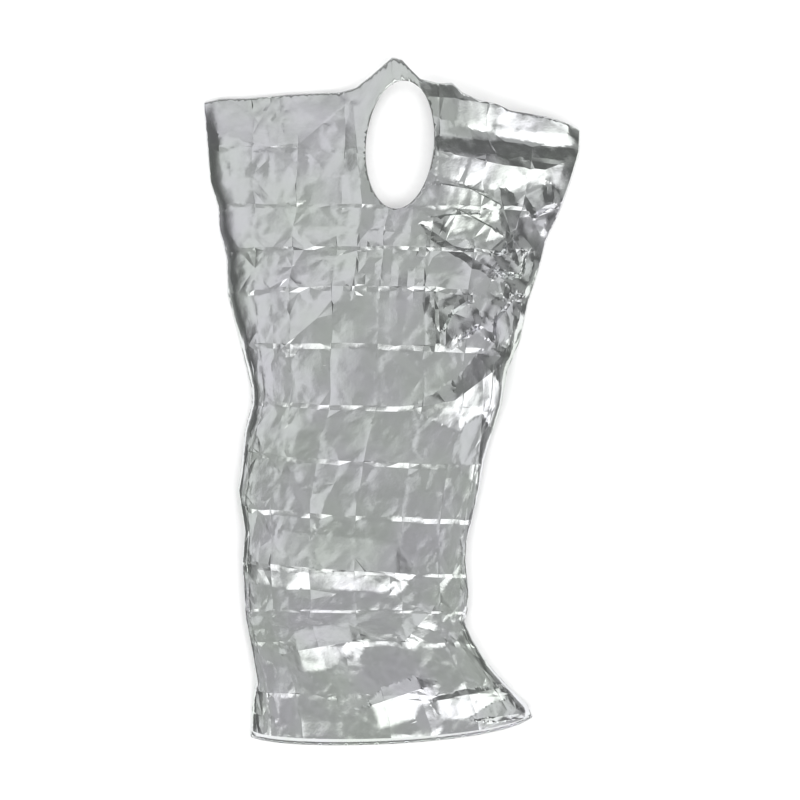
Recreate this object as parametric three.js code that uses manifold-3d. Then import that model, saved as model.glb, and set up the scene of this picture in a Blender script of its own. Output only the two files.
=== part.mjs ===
// A foil emergency bag, unfolded and laid on its back on a flat surface. It is made of two sheets of
// metallised film. The front sheet keeps the grid of creases that it was packed in, stands a little
// off the back one, and rolls down at its sides. It has the face opening, below the peak of the hood.
// The two sheets are welded along their sides and foot, and are open along the mouth at the top.
// Units are millimetres, +Z is up, and the hood points along +Y.
import * as THREE from "three";
import { mergeVertices } from "three/addons/utils/BufferGeometryUtils.js";
import Module from "manifold-3d";

const wasm = await Module();
wasm.setup();

// Driving dimensions of the film
const MOUTH_WIDTH = 914;
const STRIPS_ACROSS = 8;
const STRIPS_DOWN = 13;
const FILM = 1.5;
const WELD_GAP = 0.3;
const WELD_SEAT = FILM + WELD_GAP;

// Creases left by packing, where two strips meet, and the swell of the cells between them. A crease
// reaches out by a share of a strip's width on each side. Some creases fall instead of rising.
const ROW_CREASE = { rise: 2.5, reach: 0.2, fallingShare: 0.3 };
const COLUMN_CREASE = { rise: 1.2, reach: 0.18 };
const CELL_SWELL = { least: -1.4, most: 2.4 };
const SIDE_FADE = 0.1;

// Face opening, an upright ellipse that leans a little to +X, and the mound where the mouth is lifted
const FACE = { x: 19, y: 621, halfWidth: 82, halfHeight: 155, lean: 5, curveSteps: 20 };
const FACE_CUT_HEIGHT = 200;
const HOOD = { x: 90, y: 640, rise: 24, left: 310, right: 430, below: 240, above: 1200 };

// Side rolls, which take the front sheet down to the weld: they start at the sheet's own slope
const ROLL = 3;
const ROLL_END = THREE.MathUtils.degToRad(-55);
const ROLL_STEPS = 4;

// The front sheet falls to the weld between two rows near the foot
const FALL_TO_FOOT = { from: 12.86, to: 12.96, sideHold: 8 };
const LEAST_STAND = 6;
const STEEPEST_LEVEL = 0.5;
const FLATNESS = { least: 2, most: 14 };
const LEAST_CREST = 0.1;
const MOST_SHARE = 0.9999;

// Steps of the two grids
const STEPS_PER_STRIP = 4;
const FOOT_ROWS = [12.3, 12.6, FALL_TO_FOOT.from, 12.91, FALL_TO_FOOT.to, STRIPS_DOWN];
const BACK_STEPS_PER_STRIP = 2;
const BACK_INSET = 2;

const table = (columns, rows) =>
  rows.map((row) => Object.fromEntries(columns.map((name, i) => [name, row[i]])));

// The bag's outline as it lies: both side edges from the mouth down, and the mouth from left to right
const LEFT_EDGE = table(["y", "x"], [
  [725, -457], [607, -447], [534, -440], [474, -421], [413, -418], [353, -401], [264, -399],
  [196, -382], [123, -363], [31, -341], [-7, -341], [-70, -358], [-167, -368], [-215, -375],
  [-312, -355], [-384, -363], [-505, -355], [-578, -343], [-675, -331], [-723, -339], [-815, -343],
]);
const RIGHT_EDGE = table(["y", "x"], [
  [658, 457], [607, 455], [534, 433], [474, 411], [389, 372], [317, 355], [244, 331], [147, 310],
  [75, 280], [-10, 266], [-70, 247], [-143, 225], [-239, 208], [-336, 181], [-384, 177],
  [-457, 186], [-505, 184], [-534, 174], [-578, 193], [-650, 244], [-699, 290], [-735, 329],
  [-767, 341],
]);
const MOUTH_EDGE = table(["x", "y"], [
  [-457, 725], [-416, 735], [-355, 735], [-247, 745], [-126, 750], [-89, 759], [-53, 786],
  [-17, 817], [1, 832], [24, 825], [44, 803], [68, 779], [116, 767], [145, 769], [169, 745],
  [213, 725], [249, 718], [285, 701], [334, 694], [382, 687], [418, 675], [457, 658],
]);

// Where the packing creases cross the bag. The crest is how far the middle stands over the sides, and
// the slopes are how steeply the sheet comes down to its left and right side, in degrees.
const ROWS = table(
  ["row", "left", "middle", "right", "crest", "slopeLeft", "slopeRight"],
  [
    [0, 725, 757, 658, 4, 12, 8],
    [1, 617, 607, 583, 12, 24, 8],
    [2, 479, 476, 469, 17, 30, 9],
    [3, 370, 375, 363, 20, 30, 10],
    [4, 261, 280, 251, 21, 26, 14],
    [5, 135, 140, 116, 22, 24, 26],
    [6, 5, -10, -15, 22, 26, 38],
    [7, -111, -143, -152, 21, 34, 40],
    [8, -247, -276, -290, 20, 40, 40],
    [9, -384, -411, -421, 18, 40, 40],
    [10, -501, -505, -510, 17, 40, 36],
    [11, -583, -580, -590, 16, 40, 30],
    [12, -699, -711, -699, 14.5, 36, 26],
    [12.86, -798, -815, -757, 12, 30, 26],
    [12.96, -810, -827, -764, 0, 20, 20],
    [13, -815, -832, -767, 0, 20, 20],
  ],
);

// The main folds that lie over the packing creases. Each is a low roof along its line, or a trough where
// its rise is below zero: how far it rises at each end, and how steeply its left and right side fall, in
// degrees, as seen along it.
const FOLDS = table(["x0", "y0", "rise0", "x1", "y1", "rise1", "left", "right"], [
  [-447, 650, 6, -295, 617, 6, 3.5, 4],
  [-295, 617, 6, -222, 626, 6, 3.5, 4],
  [-222, 626, 6, -114, 720, 3, 3.5, 4],
  [-247, 626, 3, -230, 486, 3, 5, 6],
  [-94, 715, 3, -73, 486, 3, 6, 6],
  [-73, 486, 3, -97, 244, 3, 6, 6],
  [90, 735, 10, 160, 728, 17, 12, 14],
  [160, 728, 17, 262, 712, 18, 22, 14],
  [262, 712, 18, 450, 664, 14, 22, 14],
  [116, 640, -3, 273, 629, -3, 6, 4],
  [273, 629, -3, 445, 612, -3, 6, 4],
  [112, 602, 9, 268, 570, 11, 11, 9],
  [268, 570, 11, 370, 560, 11, 11, 9],
  [370, 560, 11, 445, 590, 9, 13, 9],
  [122, 523, 7, 190, 512, 8, 17, 7],
  [190, 512, 8, 255, 478, 7, 17, 7],
  [128, 448, 8, 180, 452, 9, 18, 11],
  [180, 452, 9, 240, 420, 8, 18, 11],
  [262, 498, 7, 300, 360, 7, 11, 15],
  [97, 413, -7, 165, 366, -8, 15, 17],
  [165, 366, -8, 237, 322, -7, 15, 17],
  [-102, 268, 4, -259, 135, 4, 4, 6],
  [56, -19, 1, 133, -10, 7, 8, 13],
  [133, -10, 7, 213, 73, 25, 28, 13],
  [116, -22, 2, 222, -20, 13, 26, 13],
  [225, 70, 7, 208, -167, 6, 17, 8],
  [-360, -94, 3, -283, -148, 3, 8, 4],
  [-283, -148, 3, -218, -251, 3, 8, 4],
  [-355, -251, 4, -338, -372, 4, 4, 8],
  [-324, -389, 9, -222, -399, 10, 7, 10],
  [-222, -399, 10, 7, -416, 9, 7, 11],
  [31, -578, 4, 92, -510, 4, 7, 7],
  [-227, -602, 8, -97, -580, 8, 10, 8],
  [-109, -622, 5, -102, -687, 5, 9, 9],
  [-102, -687, 5, -48, -733, 6, 7, 8],
  [-48, -733, 9, 68, -694, 10, 18, 8],
  [63, -699, 5, 97, -798, 4, 8, 8],
  [157, -578, 5, 249, -699, 6, 8, 8],
  [109, -723, 6, 259, -692, 8, 17, 7],
  [252, -762, 12, 322, -752, 11, 13, 24],
]);
const FOLD_END_SLOPE = 10;

const { clamp, lerp } = THREE.MathUtils;

// The table's value in one column, where its key column has the value at
function lookUp(rows, key, column, at) {
  const rising = rows.at(-1)[key] > rows[0][key] ? 1 : -1;
  const next = rows.findIndex((row) => (row[key] - at) * rising >= 0);
  if (next === 0) return rows[0][column];
  if (next < 0) return rows.at(-1)[column];
  const [a, b] = [rows[next - 1], rows[next]];
  return lerp(a[column], b[column], (at - a[key]) / (b[key] - a[key]));
}

const rowValue = (column, row) => lookUp(ROWS, "row", column, row);

// The height down the bag of a line of the cloth: across is -1 at the left side and 1 at the right
function lineHeight(across, row) {
  const [left, middle, right] = ["left", "middle", "right"].map((name) => rowValue(name, row));
  const sag = middle - (left + right) / 2;
  return lerp(left, right, (across + 1) / 2) + sag * (1 - across ** 2);
}

// How much of the cloth's half width is turned away at the sides, as an angle: 0 where it lies flat
function turnAngle(halfWidth) {
  const share = Math.min(halfWidth / (MOUTH_WIDTH / 2), MOST_SHARE);
  let angle = Math.sqrt(6 * (1 - share));
  for (let i = 0; i < 4; i++) {
    const error = Math.sin(angle) / angle - share;
    angle -= (error * angle * angle) / (angle * Math.cos(angle) - Math.sin(angle));
  }
  return angle;
}

// How steeply the sheet comes down to a side, as an angle: side is -1 at the left and 1 at the right
const sideSlope = (side, row) =>
  THREE.MathUtils.degToRad(rowValue(side < 0 ? "slopeLeft" : "slopeRight", row));

// The x of both side edges at a row
function sideEdges(row) {
  return {
    leftX: lookUp(LEFT_EDGE, "y", "x", lineHeight(-1, row)),
    rightX: lookUp(RIGHT_EDGE, "y", "x", lineHeight(1, row)),
  };
}

// Half of a sheet's width at a row, and its middle, where it starts at the insets from the side edges
function span(row, insetLeft, insetRight) {
  const { leftX, rightX } = sideEdges(row);
  const middle = (leftX + insetLeft + rightX - insetRight) / 2;
  return { middle, halfWidth: (rightX - insetRight - leftX - insetLeft) / 2 };
}

const rollInset = (side, row) => ROLL * (1 - Math.sin(sideSlope(side, row)));
const frontSpan = (row) => span(row, rollInset(-1, row), rollInset(1, row));
const backSpan = (row) => span(row, BACK_INSET, BACK_INSET);

// The place in plan of a point of the cloth
function inPlan(across, row, { middle, halfWidth }) {
  const angle = turnAngle(halfWidth);
  const x = middle + (halfWidth * Math.sin(angle * across)) / Math.sin(angle);
  const toMouth = lookUp(MOUTH_EDGE, "x", "y", x) - lineHeight(across, 0);
  const y = lineHeight(across, row) + toMouth * Math.max(0, 1 - row);
  return { x, y };
}

const tent = (distance, reach) => Math.max(0, 1 - Math.abs(distance) / reach);
const roundBump = (distance, reach) => Math.cos(clamp(distance / reach, -1, 1) * (Math.PI / 2)) ** 2;

// A number from 0 to 1 for each pair of whole numbers, which looks random and is always the same
const hash = (i, j) => Math.abs(Math.sin(i * 12.9898 + j * 78.233) * 43758.5453) % 1;

// Rise of a low mound that reaches a different way to each side
function mound({ x, y, rise, left, right, below, above }, atX, atY) {
  return rise * roundBump(atX - x, atX < x ? left : right) * roundBump(atY - y, atY < y ? below : above);
}

// Rise of the creases and cells of the packing grid
function packingRelief(across, row) {
  const strip = ((across + 1) / 2) * STRIPS_ACROSS;
  const [i, j] = [Math.floor(strip), Math.floor(row)];
  const nearRow = Math.round(row);
  const nearColumn = Math.round(strip);
  const rowSign = hash(nearRow, i) > ROW_CREASE.fallingShare ? 1 : -1;
  const columnSign = nearColumn % 2 ? -1 : 1;
  const inside = nearRow > 0 && nearRow < STRIPS_DOWN ? 1 : 0;
  const rowTent = inside * tent(row - nearRow, ROW_CREASE.reach);
  const columnTent = tent(strip - nearColumn, COLUMN_CREASE.reach);
  const swell = lerp(CELL_SWELL.least, CELL_SWELL.most, hash(i + STRIPS_ACROSS, j + STRIPS_DOWN));
  const cell = Math.sin(Math.PI * (strip - i)) * Math.sin(Math.PI * (row - j));
  return rowSign * ROW_CREASE.rise * rowTent + columnSign * COLUMN_CREASE.rise * columnTent + swell * cell;
}

const slopeOf = (degrees) => Math.tan(THREE.MathUtils.degToRad(degrees));

// Height of the main folds at a place in plan: the highest roof there, less the deepest trough
function foldRelief(x, y) {
  let crest = 0;
  let trough = 0;
  for (const { x0, y0, rise0, x1, y1, rise1, left, right } of FOLDS) {
    const length = Math.hypot(x1 - x0, y1 - y0);
    const along = ((x - x0) * (x1 - x0) + (y - y0) * (y1 - y0)) / length;
    const off = ((y - y0) * (x1 - x0) - (x - x0) * (y1 - y0)) / length;
    const past = Math.max(0, -along, along - length);
    const rise = lerp(rise0, rise1, clamp(along / length, 0, 1));
    const fall = Math.abs(off) * slopeOf(off > 0 ? left : right) + past * slopeOf(FOLD_END_SLOPE);
    const roof = Math.max(0, Math.abs(rise) - fall);
    if (rise > 0) crest = Math.max(crest, roof);
    else trough = Math.max(trough, roof);
  }
  return crest - trough;
}

// How high the front sheet's outer face is at a side, above the weld
const sideRise = (side, row) => ROLL * (Math.cos(sideSlope(side, row)) - Math.sin(ROLL_END));

// How far the middle of the front sheet stands over its sides: it holds its height until near a side,
// and then comes down at that side's slope
function crestRise(across, row, halfWidth) {
  const crest = rowValue("crest", row);
  const slope = Math.tan(sideSlope(across < 0 ? -1 : 1, row));
  const flatness = clamp((slope * halfWidth) / Math.max(crest, LEAST_CREST), FLATNESS.least, FLATNESS.most);
  return crest * (1 - Math.abs(across) ** flatness);
}

// A point on the outer face of the front sheet between its two side rolls
function frontFace(across, row) {
  const place = frontSpan(row);
  const { x, y } = inPlan(across, row, place);
  const side = WELD_SEAT + lerp(sideRise(-1, row), sideRise(1, row), (across + 1) / 2);
  const weld = clamp((row - FALL_TO_FOOT.from) / (FALL_TO_FOOT.to - FALL_TO_FOOT.from), 0, 1);
  const seat = WELD_SEAT + FILM;
  const base = lerp(side, seat, weld * (1 - Math.abs(across) ** FALL_TO_FOOT.sideHold));
  const fade = clamp((1 - Math.abs(across)) / SIDE_FADE, 0, 1) * (1 - weld);
  const relief = fade * (packingRelief(across, row) + foldRelief(x, y));
  const stand = base + crestRise(across, row, place.halfWidth) + relief + mound(HOOD, x, y);
  return new THREE.Vector3(x, y, Math.max(stand, lerp(LEAST_STAND, seat, weld)));
}

// A point of a side roll: the share is 0 where it leaves the sheet and 1 at the weld
function rollPoint(side, row, share, depth) {
  const { leftX, rightX } = sideEdges(row);
  const turn = lerp(Math.PI / 2 - sideSlope(side, row), ROLL_END, share);
  const centreX = side < 0 ? leftX + ROLL : rightX - ROLL;
  const centreZ = WELD_SEAT - ROLL * Math.sin(ROLL_END);
  const radius = ROLL - depth;
  const { y } = inPlan(side, row, frontSpan(row));
  return new THREE.Vector3(centreX + side * radius * Math.cos(turn), y, centreZ + radius * Math.sin(turn));
}

// Makes one closed sheet from a grid of points on its upper face and the same grid on its lower face.
// Each cell of the grid is split along its higher diagonal, so that a fold's crest isn't broken up.
function sheetGeometry(upper, lower) {
  const [rows, columns] = [upper.length, upper[0].length];
  const positions = [...upper.flat(), ...lower.flat()].flatMap((p) => [p.x, p.y, p.z]);
  const top = (r, c) => r * columns + c;
  const bottom = (r, c) => rows * columns + r * columns + c;
  const index = [];
  const quad = (a, b, c, d) => index.push(a, b, c, a, c, d);
  for (let r = 0; r < rows - 1; r++) {
    for (let c = 0; c < columns - 1; c++) {
      const falling = upper[r][c].z + upper[r + 1][c + 1].z;
      const rising = upper[r + 1][c].z + upper[r][c + 1].z;
      const corners = [[r, c], [r + 1, c], [r + 1, c + 1], [r, c + 1]];
      if (rising > falling) corners.push(corners.shift());
      quad(...corners.map(([i, j]) => top(i, j)));
      quad(...corners.map(([i, j]) => bottom(i, j)).map((_, k, all) => all[(4 - k) % 4]));
    }
    quad(top(r, 0), bottom(r, 0), bottom(r + 1, 0), top(r + 1, 0));
    quad(top(r, columns - 1), top(r + 1, columns - 1), bottom(r + 1, columns - 1), bottom(r, columns - 1));
  }
  for (let c = 0; c < columns - 1; c++) {
    quad(top(0, c), top(0, c + 1), bottom(0, c + 1), bottom(0, c));
    quad(top(rows - 1, c), bottom(rows - 1, c), bottom(rows - 1, c + 1), top(rows - 1, c + 1));
  }
  const geometry = new THREE.BufferGeometry();
  geometry.setAttribute("position", new THREE.Float32BufferAttribute(positions, 3));
  geometry.setIndex(index);
  return geometry;
}

const steps = (from, to, count) => Array.from({ length: count + 1 }, (_, i) => lerp(from, to, i / count));

// The lower face of a sheet, straight below its upper one, and further down where the sheet is steep,
// so that the film keeps its thickness. It never reaches below the weld.
function underside(face) {
  const [lastRow, lastColumn] = [face.length - 1, face[0].length - 1];
  return face.map((line, r) =>
    line.map((point, c) => {
      const alongX = line[Math.min(c + 1, lastColumn)].clone().sub(line[Math.max(c - 1, 0)]);
      const alongY = face[Math.max(r - 1, 0)][c].clone().sub(face[Math.min(r + 1, lastRow)][c]);
      const level = Math.max(alongX.cross(alongY).normalize().z, STEEPEST_LEVEL);
      return new THREE.Vector3(point.x, point.y, Math.max(point.z - FILM / level, WELD_SEAT));
    }),
  );
}

function frontPanelSheet() {
  const rows = steps(0, STRIPS_DOWN - 1, (STRIPS_DOWN - 1) * STEPS_PER_STRIP);
  rows.push(...FOOT_ROWS);
  const acrossSteps = steps(-1, 1, STRIPS_ACROSS * STEPS_PER_STRIP);
  const rollShares = steps(0, 1, ROLL_STEPS).slice(1);
  const face = rows.map((row) => acrossSteps.map((across) => frontFace(across, row)));
  const withRolls = (grid, depth) =>
    grid.map((line, r) => [
      ...rollShares.toReversed().map((share) => rollPoint(-1, rows[r], share, depth)),
      ...line,
      ...rollShares.map((share) => rollPoint(1, rows[r], share, depth)),
    ]);
  return sheetGeometry(withRolls(face, 0), withRolls(underside(face), FILM));
}

function backPanelSheet() {
  const rows = steps(0, STRIPS_DOWN, STRIPS_DOWN * BACK_STEPS_PER_STRIP);
  const acrossSteps = steps(-1, 1, STRIPS_ACROSS * BACK_STEPS_PER_STRIP);
  const plan = rows.map((row) => acrossSteps.map((across) => inPlan(across, row, backSpan(row))));
  const atHeight = (z) => plan.map((line) => line.map(({ x, y }) => new THREE.Vector3(x, y, z)));
  return sheetGeometry(atHeight(FILM), atHeight(0));
}

function facePrism() {
  const outline = new THREE.Shape();
  const lean = THREE.MathUtils.degToRad(-FACE.lean);
  outline.absellipse(FACE.x, FACE.y, FACE.halfWidth, FACE.halfHeight, 0, Math.PI * 2, false, lean);
  return new THREE.ExtrudeGeometry(outline, {
    depth: FACE_CUT_HEIGHT,
    bevelEnabled: false,
    curveSegments: FACE.curveSteps,
  });
}

function toSolid(geometry) {
  const bare = geometry.clone();
  bare.deleteAttribute("normal");
  bare.deleteAttribute("uv");
  const merged = mergeVertices(bare, 1e-4);
  return new wasm.Manifold(
    new wasm.Mesh({
      numProp: 3,
      vertProperties: merged.attributes.position.array,
      triVerts: new Uint32Array(merged.index.array),
    }),
  );
}

function toGeometry(solid) {
  const mesh = solid.getMesh();
  const geometry = new THREE.BufferGeometry();
  geometry.setAttribute("position", new THREE.BufferAttribute(mesh.vertProperties, 3));
  geometry.setIndex(new THREE.BufferAttribute(mesh.triVerts, 1));
  geometry.computeVertexNormals();
  return geometry;
}

const foil = () => new THREE.MeshStandardMaterial({ color: 0xc4c8c8, roughness: 0.22, metalness: 1 });

function named(name, geometry) {
  const mesh = new THREE.Mesh(geometry, foil());
  mesh.name = name;
  return mesh;
}

const blanket = new THREE.Group();
blanket.name = "emergency_blanket";
blanket.add(named("front_panel", toGeometry(toSolid(frontPanelSheet()).subtract(toSolid(facePrism())))));
blanket.add(named("back_panel", toGeometry(toSolid(backPanelSheet()))));

// The origin is at the middle of the bag's outline, on the surface it lies on
const outline = new THREE.Box3().setFromObject(blanket, true);
blanket.position.set(-(outline.min.x + outline.max.x) / 2, -(outline.min.y + outline.max.y) / 2, 0);

export default blanket;
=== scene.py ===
# The looks of a foil emergency bag that lies unfolded on its back. The bag is two sheets of metallised
# film. The front sheet is a fine skin of flat facets, whose edges follow the creases of its packing,
# its main folds and a crumple dealt out by a seeded generator. The back sheet lies on the floor.
# Everything is in metres, +Z is up and the hood points along +Y. Film places are told by how far they
# are across the sheet, -1 at its left side to 1 at its right, and by the row, 0 at the mouth to 13 at
# the foot. In metres they are u, from the middle to the right, and v, from the mouth down.
import math

import bpy
import numpy as np
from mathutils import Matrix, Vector
from mathutils.bvhtree import BVHTree
from mathutils.geometry import delaunay_2d_cdt
from mathutils.kdtree import KDTree


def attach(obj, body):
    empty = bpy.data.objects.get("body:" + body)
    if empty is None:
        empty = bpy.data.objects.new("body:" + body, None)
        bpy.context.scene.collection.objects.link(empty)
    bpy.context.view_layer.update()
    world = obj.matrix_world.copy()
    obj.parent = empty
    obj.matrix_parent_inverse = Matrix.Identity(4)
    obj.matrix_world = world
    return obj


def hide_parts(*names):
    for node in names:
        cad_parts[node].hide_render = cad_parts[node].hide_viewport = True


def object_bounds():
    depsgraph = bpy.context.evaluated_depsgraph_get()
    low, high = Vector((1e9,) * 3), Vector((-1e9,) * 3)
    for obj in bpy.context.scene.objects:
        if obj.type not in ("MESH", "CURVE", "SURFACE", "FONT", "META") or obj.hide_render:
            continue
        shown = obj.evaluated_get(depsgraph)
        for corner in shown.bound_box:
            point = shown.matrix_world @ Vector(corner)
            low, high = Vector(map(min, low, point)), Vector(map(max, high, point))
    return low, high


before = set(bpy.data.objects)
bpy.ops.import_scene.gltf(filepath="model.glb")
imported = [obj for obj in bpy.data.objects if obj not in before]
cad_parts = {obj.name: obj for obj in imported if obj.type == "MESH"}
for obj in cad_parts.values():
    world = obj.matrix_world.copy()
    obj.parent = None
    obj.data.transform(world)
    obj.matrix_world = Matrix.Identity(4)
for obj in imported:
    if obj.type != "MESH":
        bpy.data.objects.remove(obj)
CAD_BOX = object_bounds()

# The film's sizes, and the flat sheets that it was cut to
MOUTH_WIDTH = 0.914
HALF_MOUTH = MOUTH_WIDTH / 2
STRIPS_ACROSS = 8
STRIPS_DOWN = 13
STRIP_WIDTH = MOUTH_WIDTH / STRIPS_ACROSS
STRIP_LENGTH = 0.133
FILM = 0.0004

# The back sheet: its height over the floor, its relief as a share of the front's, and its grid
BACK_LEVEL = 0.0002
BACK_INSET = 0.002
BACK_RELIEF = 0.5
BACK_CRUMPLE = 0.0002
BACK_STEPS_ACROSS = 8
BACK_STEPS_DOWN = 9

# The front sheet's sides, which roll down to the weld on the back sheet
WELD_SEAT = 0.0009
ROLL = 0.003
ROLL_FILM = 0.018
ROLL_END = math.radians(-55)
ROLL_CRUMPLE = 0.5
SIDE_FADE = 0.06

# The front sheet between its sides: how flat its top may be, and its rows near the welded foot
LEAST_FLATNESS = 2
MOST_FLATNESS = 14
LEAST_RISE = 1e-4
LEAST_STAND = 0.005
FOOT_FLATNESS = 8
FOOT_FADE = (12.86, 12.96)
FOOT_LINES = (12.5, 12.86, 12.96)

# The face opening, and the mound where the mouth is lifted: its middle, its rise and how far it reaches
# to each side
FACE = {"x": 0.019, "y": 0.621, "half_width": 0.082, "half_height": 0.155, "lean": math.radians(5)}
HOOD = {"x": 0.090, "y": 0.640, "rise": 0.024, "left": 0.31, "right": 0.43, "below": 0.24, "above": 1.2}

SEED = 41


def table(columns, rows):
    """A short table as one array for each named column."""
    return dict(zip(columns, np.array(rows, dtype=float).T))


# The bag's outline as it lies, from the mouth to the foot, and the mouth from left to right
LEFT_EDGE = table(("y", "x"), [
    (0.725, -0.457), (0.607, -0.447), (0.534, -0.440), (0.474, -0.421), (0.413, -0.418),
    (0.353, -0.401), (0.264, -0.399), (0.196, -0.382), (0.123, -0.363), (0.031, -0.341),
    (-0.007, -0.341), (-0.070, -0.358), (-0.167, -0.368), (-0.215, -0.375), (-0.312, -0.355),
    (-0.384, -0.363), (-0.505, -0.355), (-0.578, -0.343), (-0.675, -0.331), (-0.723, -0.339),
    (-0.815, -0.343),
])
RIGHT_EDGE = table(("y", "x"), [
    (0.658, 0.457), (0.607, 0.455), (0.534, 0.433), (0.474, 0.411), (0.389, 0.372), (0.317, 0.355),
    (0.244, 0.331), (0.147, 0.310), (0.075, 0.280), (-0.010, 0.266), (-0.070, 0.247),
    (-0.143, 0.225), (-0.239, 0.208), (-0.336, 0.181), (-0.384, 0.177), (-0.457, 0.186),
    (-0.505, 0.184), (-0.534, 0.174), (-0.578, 0.193), (-0.650, 0.244), (-0.699, 0.290),
    (-0.735, 0.329), (-0.767, 0.341),
])
MOUTH_EDGE = table(("x", "y"), [
    (-0.457, 0.725), (-0.416, 0.735), (-0.355, 0.735), (-0.247, 0.745), (-0.126, 0.750),
    (-0.089, 0.759), (-0.053, 0.786), (-0.017, 0.817), (0.001, 0.832), (0.024, 0.825),
    (0.044, 0.803), (0.068, 0.779), (0.116, 0.767), (0.145, 0.769), (0.169, 0.745), (0.213, 0.725),
    (0.249, 0.718), (0.285, 0.701), (0.334, 0.694), (0.382, 0.687), (0.418, 0.675), (0.457, 0.658),
])
# Where the packing creases cross the bag. The crest is how far the middle stands over the sides, and the
# slopes are how steeply the sheet comes down to its left and right side, in degrees.
ROWS = table(("row", "left", "middle", "right", "crest", "slope_left", "slope_right"), [
    (0, 0.725, 0.757, 0.658, 0.004, 12, 8),
    (1, 0.617, 0.607, 0.583, 0.012, 24, 8),
    (2, 0.479, 0.476, 0.469, 0.017, 30, 9),
    (3, 0.370, 0.375, 0.363, 0.020, 30, 10),
    (4, 0.261, 0.280, 0.251, 0.021, 26, 14),
    (5, 0.135, 0.140, 0.116, 0.022, 24, 26),
    (6, 0.005, -0.010, -0.015, 0.022, 26, 38),
    (7, -0.111, -0.143, -0.152, 0.021, 34, 40),
    (8, -0.247, -0.276, -0.290, 0.020, 40, 40),
    (9, -0.384, -0.411, -0.421, 0.018, 40, 40),
    (10, -0.501, -0.505, -0.510, 0.017, 40, 36),
    (11, -0.583, -0.580, -0.590, 0.016, 40, 30),
    (12, -0.699, -0.711, -0.699, 0.0145, 36, 26),
    (12.86, -0.798, -0.815, -0.757, 0.012, 30, 26),
    (12.96, -0.810, -0.827, -0.764, 0, 20, 20),
    (13, -0.815, -0.832, -0.767, 0, 20, 20),
])
# How strong each packing crease shows, at the left, the middle and the right of the sheet
ROW_CREASES = table(("row", "left", "middle", "right"), [
    (1, 0.9, 1.0, 1.4), (2, 1.1, 1.2, 1.4), (3, 1.5, 1.8, 1.8), (4, 1.6, 2.4, 2.1), (5, 1.6, 2.2, 1.6),
    (6, 1.5, 1.8, 1.6), (7, 1.2, 1.7, 1.8), (8, 1.3, 1.8, 1.7), (9, 1.5, 1.2, 1.0),
    (10, 0.9, 1.1, 0.9), (11, 0.8, 1.0, 1.1), (12, 0.8, 0.9, 0.8),
])
# How high and how wide the creases are, how far they wander and in what steps, how much the strength of
# one differs from the next, and how far the cells between them swell
ROW_CREASE = {"rise": 0.00098, "above": 0.045, "below": 0.012, "wobble": 0.003, "step": 0.045}
COLUMN_CREASE = {"rise": 0.0004, "reach": 0.007, "wobble": 0.002, "step": 0.05}
CREASE_GAINS = (0.88, 1.12)
CELL_SWELL = 0.0022
CELL_SWELLS = (-0.6, 1.0)
# How far inside the last strip a place at the film's edge is counted, in strips
LAST_STRIP = 0.001

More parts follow.
